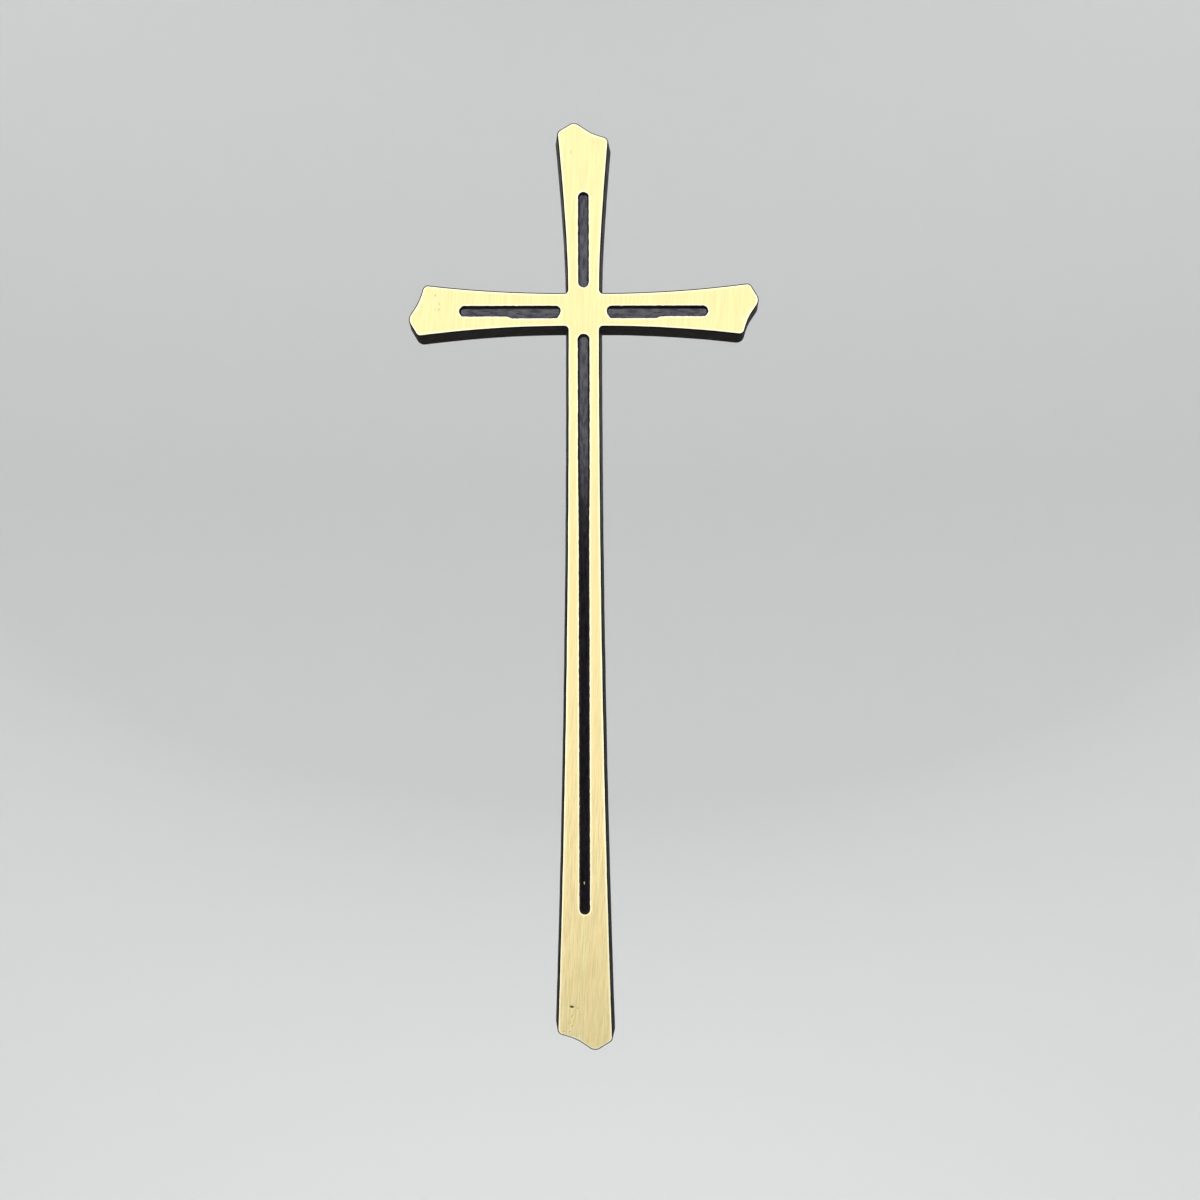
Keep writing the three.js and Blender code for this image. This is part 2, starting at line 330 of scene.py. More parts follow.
def groove_outline(arm):
    """A groove that is wide near the crossing and narrow further out."""
    start = arm.groove_start
    end = arm.groove_end
    wide = arm.wide / 2
    narrow = GROOVE_WIDTH / 2
    places = [(start + wide, wide, arm.wide_shift)]
    if arm.narrowing:
        middle = share_between(start, end, arm.narrowing[0])
        for i in range(NARROWING_STEPS + 1):
            share = i / NARROWING_STEPS
            along = middle + arm.narrowing[1] * (share - 0.5)
            eased = ease(share)
            places.append((along, share_between(wide, narrow, eased),
                           share_between(arm.wide_shift, arm.shift, eased)))
    places.append((end - narrow, narrow, arm.shift))
    stations = []
    for (a, half_a, shift_a), (b, half_b, shift_b) in zip(places, places[1:]):
        steps = max(1, round((b - a) / GROOVE_STEP))
        for k in range(1, steps + 1):
            t = k / steps
            stations.append((share_between(a, b, t), share_between(half_a, half_b, t),
                             share_between(shift_a, shift_b, t)))
    stations.pop()
    end_steps = math.ceil(math.pi / ARC_STEP)
    points = groove_head(arm)
    points += [arm.at(along, shift - half) for along, half, shift in stations]
    for i in range(end_steps + 1):
        angle = math.pi * i / end_steps
        points.append(arm.at(end - narrow + narrow * math.sin(angle),
                             arm.shift - narrow * math.cos(angle)))
    points += [arm.at(along, shift + half) for along, half, shift in reversed(stations)]
    return points


def unevenness(point, size):
    """A wavering share with long waves of the given size and smaller nibbles on them."""
    place = Vector((point.x, point.y, 0)) / size
    return noise.noise(place) + SMALL_WAVE_SHARE * noise.noise(place * SMALL_WAVE_PACE)


def grow(outline, distance, wobble=0, wobble_size=1):
    """The outline moved outwards, with an uneven hand-made share that runs along it."""
    count = len(outline)
    moved = []
    for i, point in enumerate(outline):
        incoming = (point - outline[i - 1]).normalized()
        outgoing = (outline[(i + 1) % count] - point).normalized()
        outwards = Vector((incoming.y + outgoing.y, -incoming.x - outgoing.x))
        uneven = wobble * unevenness(point, wobble_size) if wobble else 0
        moved.append(point + outwards * ((distance + uneven) / (1 + incoming.dot(outgoing))))
    return moved


# The four finishes, as places in the list of materials
WALL = 0
GROOVE = 1
LINISHED = 2
# The groove walls' finish is the wall patina painted paler, as painted light
GROOVE_WALL = 3

# Triangulation: the kind that stays inside the border, and how near two points are one, in mm
INSIDE_BORDER = 1
NEARNESS = 1e-6


class Skin:
    """Collects the surface: places, faces, and the values that the finishes read."""

    def __init__(self):
        self.places = []
        self.faces = []
        self.finish = []
        self.cast = []
        self.edge = []
        self.dirt = []
        self.grain = []

    def add(self, x, y, z, cast=0.0, edge=0.0, dirt=0.0, grain=None):
        """Adds a place and returns its number."""
        self.places.append((x, y, z))
        self.cast.append(cast)
        self.edge.append(edge)
        self.dirt.append(dirt)
        self.grain.append(grain or (x, y, z))
        return len(self.places) - 1

    def ring(self, points, y, cast=0.0, edge=0.0, arm=None):
        """Adds a closed ring of places at one depth."""
        return [self.add(p.x, y, p.y, cast, edge, 0.0, grain_place(p, y, arm)) for p in points]

    def loft(self, front, back, finish, inwards=False):
        """A band of faces between two rings, facing away from their middle or towards it."""
        count = len(front)
        for i in range(count):
            after = (i + 1) % count
            face = (front[i], back[i], back[after], front[after])
            self.faces.append(face[::-1] if inwards else face)
            self.finish.append(finish)

    def carry_on(self, ring, points, y, finish, cast=0.0, arm=None):
        """Adds the next ring and the band that leads to it. A groove's bands face inwards."""
        after = self.ring(points, y, cast, 0.0, arm)
        self.loft(ring, after, finish, inwards=arm is not None)
        return after

    def flat(self, index):
        """A place as seen from the front, in millimetres."""
        x, y, z = self.places[index]
        return Vector((x, z)) / MM

    def fill(self, border, holes, inner, finish, backwards=False):
        """Triangles inside a closed border and outside its holes, through inner places."""
        indices = []
        edges = []
        hole_round = {}
        for loop in [border] + holes:
            start = len(indices)
            count = len(loop)
            edges += [(start + i, start + (i + 1) % count) for i in range(count)]
            indices += loop
        for hole in holes:
            shape = [self.flat(index) for index in hole]
            hole_round.update({index: shape for index in hole})
        indices += inner
        _, _, triangles, origins, _, _ = delaunay_2d_cdt(
            [self.flat(i) for i in indices], edges, [], INSIDE_BORDER, NEARNESS)
        for triangle in triangles:
            face = tuple(indices[origins[corner][0]] for corner in triangle)
            # With all its corners on the ring of one hole, a triangle may lie in that hole
            shape = hole_round.get(face[0])
            middle = sum((self.flat(i) for i in face), Vector((0, 0))) / 3
            if shape and all(hole_round.get(i) is shape for i in face) and inside(middle, shape):
                continue
            self.faces.append(face[::-1] if backwards else face)
            self.finish.append(finish)


def grain_place(point, y, arm):
    """Where the cast grain is read: along and across the groove, or simply in place."""
    if arm is None:
        return (point.x, y, point.y)
    return (point.dot(arm.aside), y, point.dot(arm.out))


class Mark:
    """A casting pit or a scratch in the face, as an oval dent."""

    def __init__(self, x, z, half_width, half_length, tilt, depth, dirt):
        self.centre = Vector((x, z)) * MM
        self.half = Vector((half_width, half_length)) * MM
        self.turn = Matrix.Rotation(math.radians(-tilt), 2)
        self.depth = depth * MM
        self.dirt = dirt

    def places(self):
        """Rings of points in the dent and just round it."""
        points = [self.centre]
        for spread in MARK_RINGS:
            for i in range(MARK_TURNS):
                angle = 2 * math.pi * (i + spread) / MARK_TURNS
                oval = Vector((math.cos(angle) * self.half.x, math.sin(angle) * self.half.y))
                points.append(self.centre + self.turn @ (oval * spread))
        return points

    def strength(self, point):
        """How far a point lies in the dent: 1 in its middle, 0 from its rim on."""
        away = self.turn.transposed() @ (point - self.centre)
        return max(0.0, 1 - (away.x / self.half.x) ** 2 - (away.y / self.half.y) ** 2)


# Marks of the real face, in millimetres: place, half width and length, tilt in degrees, depth, dirt
MARKS = [
    Mark(-4.3, -224.1, 0.8, 0.4, 8, 0.3, 2.2),
    Mark(-2.4, -224.6, 0.28, 0.3, 0, 0.12, 0.8),
    Mark(-4.2, -227.3, 0.2, 1.0, 14, 0.06, 0.75),
    Mark(-4.7, -229.4, 0.2, 0.9, 14, 0.06, 0.7),
    Mark(-4.1, -230.3, 0.22, 0.6, 25, 0.06, 0.55),
    Mark(-4.95, -232.2, 0.28, 0.5, 12, 0.07, 0.7),
    Mark(-6.8, -232.0, 0.4, 0.3, 0, 0.05, 0.5),
    Mark(-4.05, 50.7, 0.3, 0.8, 2, 0.03, 0.35),
    Mark(-47.6, 4.7, 0.26, 0.5, 0, 0.05, 0.6),
    Mark(-46.4, 1.95, 0.26, 0.5, 0, 0.04, 0.45),
    Mark(-46.6, 0.15, 0.28, 0.55, 0, 0.05, 0.55),
    Mark(-47.8, 0.16, 0.22, 0.45, 0, 0.03, 0.3),
]


def staggered_grid(keep_off, spacing, clear):
    """A staggered grid over the cross that keeps clear of the given points."""
    tree = KDTree(len(keep_off))
    for i, point in enumerate(keep_off):
        tree.insert(Vector((point.x, point.y, 0)), i)
    tree.balance()
    # No arm reaches further to its side than this
    band = max(FOOT_WIDTH, ARM_END_WIDTH) / 2 + WALL_SPLAY + END_LEAN
    points = []
    rows = math.ceil((high[2] - low[2]) / spacing)
    columns = math.ceil((high[0] - low[0]) / spacing)
    for row in range(rows):
        z = low[2] + row * spacing
        for column in range(columns):
            x = low[0] + (column + 0.5 * (row % 2)) * spacing
            if abs(x) > band and abs(z) > band:
                continue
            if tree.find(Vector((x, z, 0)))[2] > clear:
                points.append(Vector((x, z)))
    return points


def inside(point, polygon):
    """Whether a point lies inside a closed outline."""
    within = False
    for i, corner in enumerate(polygon):
        before = polygon[i - 1]
        if (corner.y > point.y) != (before.y > point.y):
            crossing = corner.x + (before.x - corner.x) * (point.y - corner.y) / (before.y - corner.y)
            if point.x < crossing:
                within = not within
    return within


def grid_within(outline, spacing):
    """The staggered grid's points inside a closed outline."""
    grid = staggered_grid(outline, spacing, GRID_CLEARANCE * spacing)
    return [point for point in grid if inside(point, outline)]


def face_depth(inset):
    """How far the face has rolled off at this distance from its edge."""
    short = max(0.0, 1 - inset / EDGE_WIDTH)
    return ROLL_OFF * short * short


def build_body(skin, outline):
    """Arris, side walls and back. Returns the ring where the face begins."""
    def wavering(outwards):
        return grow(outline, outwards, OUTLINE_WOBBLE, OUTLINE_WAVE)

    face_edge = FRONT + face_depth(0)
    face_ring = skin.ring(wavering(0), face_edge, edge=1)
    ring = face_ring
    for i, angle in enumerate(quarter_turn(ARRIS_ROWS), 1):
        y = face_edge + ARRIS_RADIUS * (1 - math.cos(angle))
        ring = skin.carry_on(ring, wavering(ARRIS_RADIUS * math.sin(angle)), y, WALL,
                             ARRIS_CAST * i / ARRIS_ROWS)
    wall_top = FRONT + ARRIS_RADIUS
    wall_foot = BACK - BACK_ARRIS
    for i in range(1, WALL_ROWS + 1):
        share = i / WALL_ROWS
        y = share_between(wall_top, wall_foot, share)
        ring = skin.carry_on(ring, wavering(share_between(ARRIS_RADIUS, WALL_SPLAY, share)), y, WALL,
                             FULL_CAST)
    for angle in quarter_turn(SMALL_ROWS):
        y = wall_foot + BACK_ARRIS * math.sin(angle)
        inset = BACK_ARRIS * (1 - math.cos(angle))
        ring = skin.carry_on(ring, wavering(WALL_SPLAY - inset), y, WALL, FULL_CAST)
    grid = grid_within(wavering(WALL_SPLAY - BACK_ARRIS), BACK_GRID)
    inner = [skin.add(p.x, BACK, p.y, FULL_CAST) for p in grid]
    skin.fill(ring, [], inner, WALL, backwards=True)
    return face_ring


def build_groove(skin, arm):
    """Walls and floor of one groove. Returns its mouth ring and its outline.

    The dull skin of the walls ends at the floor in the shaft's groove, and higher in the others.
    """
    outline = groove_outline(arm)

    def nibbled(inset, nibble=NIBBLE):
        return grow(outline, -inset, nibble, NIBBLE_WAVE)

    face_edge = FRONT + face_depth(0)
    mouth = skin.ring(nibbled(0), face_edge, edge=1, arm=arm)
    ring = mouth
    for angle in quarter_turn(SMALL_ROWS):
        y = face_edge + GROOVE_LIP * (1 - math.cos(angle))
        ring = skin.carry_on(ring, nibbled(GROOVE_LIP * math.sin(angle)), y, GROOVE_WALL, arm=arm)
    wall_foot = GROOVE_DEPTH - GROOVE_FLOOR_RADIUS
    for i in range(1, SMALL_ROWS + 1):
        share = i / SMALL_ROWS
        y = FRONT + share_between(GROOVE_LIP, wall_foot, share)
        inset = share_between(GROOVE_LIP, GROOVE_WALL_SLOPE, share)
        ring = skin.carry_on(ring, nibbled(inset, NIBBLE * (1 - share)), y, GROOVE_WALL,
                             FLOOR_CAST * share, arm)
    root = GROOVE_WALL if arm.out.y < 0 else GROOVE
    for angle in quarter_turn(SMALL_ROWS):
        y = FRONT + wall_foot + GROOVE_FLOOR_RADIUS * math.sin(angle)
        inset = GROOVE_WALL_SLOPE + GROOVE_FLOOR_RADIUS * (1 - math.cos(angle))
        ring = skin.carry_on(ring, grow(outline, -inset), y, root, FLOOR_CAST, arm)
    floor = FRONT + GROOVE_DEPTH
    floor_outline = grow(outline, -GROOVE_WALL_SLOPE - GROOVE_FLOOR_RADIUS - FLOOR_RIM)
    ring = skin.carry_on(ring, floor_outline, floor, GROOVE, FLOOR_CAST, arm)
    inner = [skin.add(p.x, floor, p.y, FLOOR_CAST, grain=grain_place(p, floor, arm))
             for p in grid_within(floor_outline, FLOOR_GRID)]
    skin.fill(ring, [], inner, GROOVE)
    return mouth, outline


def build_burr(skin):
    """A scraped burr on the floor of the shaft's groove, as a small closed oval half sunk into it."""
    centre = BURR_PLACE + Vector((0, FRONT + GROOVE_DEPTH, 0))
    half = BURR_HALF
    foot = skin.add(centre.x, centre.y, centre.z - half.z)
    rings = []
    for row in range(1, BURR_ROWS + 1):
        rise = math.pi * (row / (BURR_ROWS + 1) - 0.5)
        ring = []
        for i in range(BURR_TURNS):
            turn = 2 * math.pi * i / BURR_TURNS
            ring.append(skin.add(centre.x + half.x * math.cos(rise) * math.cos(turn),
                                 centre.y + half.y * math.cos(rise) * math.sin(turn),
                                 centre.z + half.z * math.sin(rise)))
        rings.append(ring)
    head = skin.add(centre.x, centre.y, centre.z + half.z)
    for lower, upper in zip(rings, rings[1:]):
        skin.loft(upper, lower, LINISHED)
    for i in range(BURR_TURNS):
        after = (i + 1) % BURR_TURNS
        skin.faces += [(foot, rings[0][after], rings[0][i]), (head, rings[-1][i], rings[-1][after])]
        skin.finish += [LINISHED, LINISHED]


def build_face(skin, outline, face_ring, mouths, groove_outlines):
    """The linished face between the outline and the mouths of the grooves."""
    inner = []
    for share in RIM_SHARES:
        inset = EDGE_WIDTH * share
        y = FRONT + face_depth(inset)
        rims = [grow(outline, -inset)] + [grow(groove, inset) for groove in groove_outlines]
        for rim in rims:
            every_second = rim[::2]
            inner += [skin.add(p.x, y, p.y, edge=1 - share) for p in every_second]
    edges = list(outline)
    for groove in groove_outlines:
        edges += groove
    marks = []
    for mark in MARKS:
        marks += mark.places()
    grid = [p for p in staggered_grid(edges, FACE_GRID, EDGE_WIDTH + FACE_GRID / 2)
            if inside(p, outline) and not any(inside(p, groove) for groove in groove_outlines)]
    for point in grid + marks:
        strength = [(mark, mark.strength(point)) for mark in MARKS]
        dent = sum(mark.depth * amount for mark, amount in strength)
        dirt = max(mark.dirt * amount for mark, amount in strength)
        inner.append(skin.add(point.x, FRONT + dent, point.y, dirt=dirt))
    skin.fill(face_ring, mouths, inner, LINISHED)


def make_mesh(skin, name, finishes):
    """The collected surface as a mesh, with the values that its finishes read."""
    mesh = bpy.data.meshes.new(name)
    mesh.from_pydata(skin.places, [], skin.faces)
    for key, values in (("cast", skin.cast), ("edge", skin.edge), ("dirt", skin.dirt)):
        mesh.attributes.new(key, "FLOAT", "POINT").data.foreach_set("value", values)
    grain = mesh.attributes.new("grain", "FLOAT_VECTOR", "POINT")
    grain.data.foreach_set("vector", [number for place in skin.grain for number in place])
    for finish in finishes:
        mesh.materials.append(finish)
    mesh.polygons.foreach_set("material_index", skin.finish)
    mesh.shade_smooth()
    return mesh


def add_node(tree, kind, settings=None, **inputs):
    """A node with its settings, and the values or links of its inputs.

    An input goes by its name, or by the letter i and its number.
    """
    node = tree.nodes.new(kind)
    for key, value in (settings or {}).items():
        setattr(node, key, value)
    for key, value in inputs.items():
        numbered = key[0] == "i" and key[1:].isdigit()
        socket = node.inputs[int(key[1:]) if numbered else key]
        if isinstance(value, bpy.types.NodeSocket):
            tree.links.new(value, socket)
        else:
            socket.default_value = value
    return node


def multiply(tree, first, second):
    """The product of two values."""
    return add_node(tree, "ShaderNodeMath", {"operation": "MULTIPLY"},
                    i0=first, i1=second).outputs[0]


def pushed_in(tree, given, cast, place):
    """The surface, pushed in unevenly where it is cast."""
    normal = add_node(tree, "GeometryNodeInputNormal")
    fineness = add_node(tree, "ShaderNodeMath", {"operation": "DIVIDE"}, i0=1.0, i1=given["Skin Size"])
    hollows = add_node(tree, "ShaderNodeTexNoise", {"noise_dimensions": "4D"}, Vector=place,
                       W=given["Seed"], Scale=fineness.outputs[0], Detail=3.0, Roughness=0.6)
    push = multiply(tree, multiply(tree, hollows.outputs[0], given["Skin Depth"]), cast)
    offset = add_node(tree, "ShaderNodeVectorMath", {"operation": "SCALE"},
                      i0=normal.outputs[0], Scale=multiply(tree, push, -1.0))
    return add_node(tree, "GeometryNodeSetPosition", None,
                    Geometry=given["Geometry"], Offset=offset.outputs[0]).outputs[0]


def scattered_nodules(tree, given, surface, cast, place):
    """Small flattened balls on the cast surface, with a mark that they are nodules.

    They keep off the flat back and its edge, which have to lie on the stone.
    """
    spot = add_node(tree, "ShaderNodeSeparateXYZ", None, i0=place)
    off_back = add_node(tree, "FunctionNodeCompare", {"data_type": "FLOAT", "operation": "LESS_THAN"},
                        A=spot.outputs["Y"], B=given["Nodule Limit"])
    is_cast = add_node(tree, "FunctionNodeCompare", {"data_type": "FLOAT", "operation": "GREATER_THAN"},
                       A=cast, B=NODULE_CAST)
    both = add_node(tree, "FunctionNodeBooleanMath", {"operation": "AND"},
                    i0=off_back.outputs[0], i1=is_cast.outputs[0])
    points = add_node(tree, "GeometryNodeDistributePointsOnFaces", {"distribute_method": "RANDOM"},
                      Mesh=surface, Selection=both.outputs[0],
                      Density=given["Nodule Density"], Seed=given["Seed"])
    ball = add_node(tree, "GeometryNodeMeshUVSphere", None,
                    Segments=8, Rings=5, Radius=given["Nodule Radius"])
    smooth = add_node(tree, "GeometryNodeSetShadeSmooth", None, Geometry=ball.outputs[0])
    flattened = add_node(tree, "GeometryNodeTransform", None,
                         Geometry=smooth.outputs[0], Scale=(1.0, 1.0, NODULE_FLATNESS))
    sizes = add_node(tree, "FunctionNodeRandomValue", {"data_type": "FLOAT"},
                     i2=NODULE_SIZES[0], i3=NODULE_SIZES[1], Seed=given["Seed"])
    nodules = add_node(tree, "GeometryNodeInstanceOnPoints", None,
                       Points=points.outputs["Points"], Instance=flattened.outputs[0],
                       Rotation=points.outputs["Rotation"], Scale=sizes.outputs[1])
    return add_node(tree, "GeometryNodeStoreNamedAttribute",
                    {"data_type": "BOOLEAN", "domain": "INSTANCE"},
                    Geometry=nodules.outputs[0], Name="nodule", Value=True).outputs[0]


def foundry_skin_tree():
    """Roughens the cast surfaces as a sand mould leaves them, with hollows and small nodules."""
    tree = bpy.data.node_groups.new("foundry skin", "GeometryNodeTree")
    sockets = tree.interface
    sockets.new_socket("Geometry", in_out="INPUT", socket_type="NodeSocketGeometry")
    kinds = {"Skin Depth": "Float", "Skin Size": "Float", "Nodule Density": "Float",
             "Nodule Radius": "Float", "Nodule Limit": "Float", "Seed": "Int", "Patina": "Material"}
    for name, kind in kinds.items():
        sockets.new_socket(name, in_out="INPUT", socket_type="NodeSocket" + kind)
    sockets.new_socket("Geometry", in_out="OUTPUT", socket_type="NodeSocketGeometry")
    given = tree.nodes.new("NodeGroupInput").outputs
    cast = add_node(tree, "GeometryNodeInputNamedAttribute", {"data_type": "FLOAT"},
                    Name="cast").outputs[0]
    place = add_node(tree, "GeometryNodeInputPosition").outputs[0]
    surface = pushed_in(tree, given, cast, place)
    nodules = scattered_nodules(tree, given, surface, cast, place)
    joined = tree.nodes.new("GeometryNodeJoinGeometry")
    tree.links.new(nodules, joined.inputs[0])
    tree.links.new(surface, joined.inputs[0])
    real = add_node(tree, "GeometryNodeRealizeInstances", None, Geometry=joined.outputs[0])
    is_nodule = add_node(tree, "GeometryNodeInputNamedAttribute", {"data_type": "BOOLEAN"},
                         Name="nodule")
    finished = add_node(tree, "GeometryNodeSetMaterial", None, Geometry=real.outputs[0],
                        Selection=is_nodule.outputs[0], Material=given["Patina"])
    out = tree.nodes.new("NodeGroupOutput")
    tree.links.new(finished.outputs[0], out.inputs[0])
    return tree


def baked(mesh, name, tree, values):
    """A plain object from a mesh that has gone through a node tree."""
    source = bpy.data.objects.new(name + " source", mesh)
    bpy.context.scene.collection.objects.link(source)
    modifier = source.modifiers.new("foundry skin", "NODES")
    modifier.node_group = tree
    for item in tree.interface.items_tree:
        if item.in_out == "INPUT" and item.name in values:
            modifier[item.identifier] = values[item.name]
    shown = source.evaluated_get(bpy.context.evaluated_depsgraph_get())
    plain = bpy.data.meshes.new_from_object(shown)
    # The bake can leave empty places at the end of the list of materials
    while plain.materials[-1] is None:
        plain.materials.pop()
    bpy.data.objects.remove(source)
    result = bpy.data.objects.new(name, plain)
    plain.name = name
    bpy.context.scene.collection.objects.link(result)
    return result


def new_material(name):
    """A material with an empty node tree."""
    material = bpy.data.materials.new(name)
    material.use_nodes = True
    tree = material.node_tree
    tree.nodes.clear()
    return material, tree


def scaled_noise(tree, source, spread, detail=3.0, roughness=0.55, lean=0.0):
    """Noise whose blotches have the given size in metres along each axis, and lean to the right."""
    place = add_node(tree, "ShaderNodeMapping", {"vector_type": "TEXTURE"}, Vector=source,
                     Rotation=(0, lean, 0), Scale=spread)
    return add_node(tree, "ShaderNodeTexNoise", None, Vector=place.outputs[0], Scale=1.0,
                    Detail=detail, Roughness=roughness).outputs[0]


def remap(tree, value, low_in, high_in, low_out=0.0, high_out=1.0):
    """A value carried over from one range to another, and held at the ends."""
    return add_node(tree, "ShaderNodeMapRange", None, i0=value, i1=low_in, i2=high_in,
                    i3=low_out, i4=high_out).outputs[0]


def mix_colours(tree, share, first, second):
    """The first colour, with this share of the second in it."""
    node = add_node(tree, "ShaderNodeMix", {"data_type": "RGBA"}, i0=share)
    for value, socket in ((first, node.inputs[6]), (second, node.inputs[7])):
        if isinstance(value, bpy.types.NodeSocket):
            tree.links.new(value, socket)
        else:
            socket.default_value = (*value, 1)
    return node.outputs[2]


def linished_bronze():
    """Bright bronze with belt lines that run along the shaft, plainer to see towards the foot; their
    fading towards the top is painted light, and the pale rim is partly polish, partly a painted
    highlight.
    """
    warm = (0.862, 0.703, 0.358)
    greenish = (0.842, 0.722, 0.362)
    belt_line = (0.30, 0.235, 0.10)
    glint = (0.98, 0.9, 0.58)
    polished_rim_and_highlight = (1.0, 0.97, 0.72)
    grime = (0.07, 0.068, 0.035)
    material, tree = new_material("linished bronze")
    place = add_node(tree, "ShaderNodeTexCoord").outputs["Object"]
    height = add_node(tree, "ShaderNodeSeparateXYZ", None, i0=place).outputs["Z"]
    broad = scaled_noise(tree, place, (2.4 * MM, 4 * MM, 60 * MM), 2.0)
    streaks = scaled_noise(tree, place, (0.45 * MM, 4 * MM, 11 * MM), 3.0, 0.65, BELT_LEAN)
    fine = scaled_noise(tree, place, (0.2 * MM, 4 * MM, 6 * MM), 4.0, 0.65, BELT_LEAN)
    # Belt lines and glints show less towards the top: painted light, standing in for the bright light
    # that washes them out there
    painted_glare_fade = remap(tree, height, -100 * MM, -190 * MM, 0.4, 1.0)
    hue = mix_colours(tree, remap(tree, broad, *PATCHES), warm, greenish)
    dimming = multiply(tree, remap(tree, streaks, 0.62, 0.34, 0, 0.4), painted_glare_fade)
    lined = mix_colours(tree, dimming, hue, belt_line)
    glints = multiply(tree, remap(tree, fine, 0.5, 0.75, 0.0, 0.6), painted_glare_fade)
    lit = mix_colours(tree, glints, lined, glint)
    # A paler band along every edge of the face: partly a polished rim, partly a painted highlight
    edge = add_node(tree, "ShaderNodeAttribute", {"attribute_name": "edge"}).outputs["Fac"]
    rim = mix_colours(tree, multiply(tree, edge, edge), lit, polished_rim_and_highlight)
    dirt = add_node(tree, "ShaderNodeAttribute", {"attribute_name": "dirt"}).outputs["Fac"]
    worn = mix_colours(tree, multiply(tree, dirt, 0.95), rim, grime)
    rough = remap(tree, streaks, 0.3, 0.7, 0.42, 0.34)
    bump = add_node(tree, "ShaderNodeBump", None, Strength=0.35, Distance=0.03 * MM, Height=fine)
    tangent = add_node(tree, "ShaderNodeTangent", {"direction_type": "RADIAL", "axis": "Z"})
    shader = add_node(tree, "ShaderNodeBsdfPrincipled", None, Metallic=1.0, Anisotropic=0.55,
                      **{"Base Color": worn, "Roughness": rough, "Normal": bump.outputs[0],
                         "Tangent": tangent.outputs[0]})
    add_node(tree, "ShaderNodeOutputMaterial", None, Surface=shader.outputs[0])
    return material


def groove_patina():
    """Waxed purple-black patina on the groove floors, mottled lengthwise."""
    purple = (0.0055, 0.0032, 0.0050)
    black = (0.0035, 0.0030, 0.0038)
    brown_grain = (0.026, 0.015, 0.010)
    rosy_gloss = (0.97, 0.91, 0.99)
    green_gloss = (0.87, 0.94, 0.96)
    filmed_gloss = (0.43, 0.40, 0.54)
    material, tree = new_material("groove patina")
    place = add_node(tree, "ShaderNodeAttribute", {"attribute_name": "grain"}).outputs["Vector"]
    runs = scaled_noise(tree, place, (0.7 * MM, 0.7 * MM, 3.5 * MM), 3.0, 0.6)
    grains = scaled_noise(tree, place, (0.32 * MM, 0.32 * MM, 0.6 * MM), 4.0, 0.65)
    cloudy = scaled_noise(tree, place, (2 * MM, 2 * MM, 5 * MM), 2.0)
    film = scaled_noise(tree, place, (0.6 * MM, 0.6 * MM, 2.6 * MM), 3.0, 0.65)
    ground = mix_colours(tree, remap(tree, cloudy, 0.4, 0.6), purple, black)
    colour = mix_colours(tree, remap(tree, grains, *SPECKS, 0, 0.6), ground, brown_grain)
    hue = mix_colours(tree, remap(tree, cloudy, *PATCHES), rosy_gloss, green_gloss)
    gloss = mix_colours(tree, remap(tree, film, 0.6, 0.4), hue, filmed_gloss)
    rough = remap(tree, runs, 0.35, 0.65, 0.10, 0.19)
    bump = add_node(tree, "ShaderNodeBump", None, Strength=0.3, Distance=0.05 * MM, Height=runs)
    shader = add_node(tree, "ShaderNodeBsdfPrincipled", None, Metallic=0.0, IOR=1.6,
                      **{"Base Color": colour, "Roughness": rough, "Normal": bump.outputs[0],
                         "Specular IOR Level": 0.9, "Specular Tint": gloss})
    add_node(tree, "ShaderNodeOutputMaterial", None, Surface=shader.outputs[0])
    return material


def wall_patina(name, dark, light):
    """Dull foundry skin between two browns, plainer and paler on the back."""
    brown_grain = (0.042, 0.028, 0.017)
    raw_dark = (0.085, 0.058, 0.036)
    raw_light = (0.13, 0.09, 0.055)
    material, tree = new_material(name)
    place = add_node(tree, "ShaderNodeTexCoord").outputs["Object"]
    clouds = scaled_noise(tree, place, (3 * MM, 3 * MM, 5 * MM), 3.0)
    grains = scaled_noise(tree, place, (0.35 * MM, 0.35 * MM, 0.35 * MM), 4.0, 0.65)
    patches = remap(tree, clouds, *PATCHES)
    brown = mix_colours(tree, patches, dark, light)
    skin = mix_colours(tree, remap(tree, grains, *SPECKS, 0, 0.5), brown, brown_grain)
    depth = add_node(tree, "ShaderNodeSeparateXYZ", None, i0=place).outputs["Y"]
    raw = mix_colours(tree, patches, raw_dark, raw_light)
    back = multiply(tree, remap(tree, depth, BACK - 0.3 * MM, BACK - 0.1 * MM),
                    remap(tree, grains, 0.3, 0.7, 1.0, 0.7))
    colour = mix_colours(tree, back, skin, raw)
    rough = remap(tree, clouds, 0.35, 0.65, 0.55, 0.72)
    bump = add_node(tree, "ShaderNodeBump", None, Strength=0.5, Distance=0.06 * MM, Height=grains)
    shader = add_node(tree, "ShaderNodeBsdfPrincipled", None, Metallic=0.0, IOR=1.5,
                      **{"Base Color": colour, "Roughness": rough, "Normal": bump.outputs[0],
                         "Specular IOR Level": 0.04})
    add_node(tree, "ShaderNodeOutputMaterial", None, Surface=shader.outputs[0])
    return material


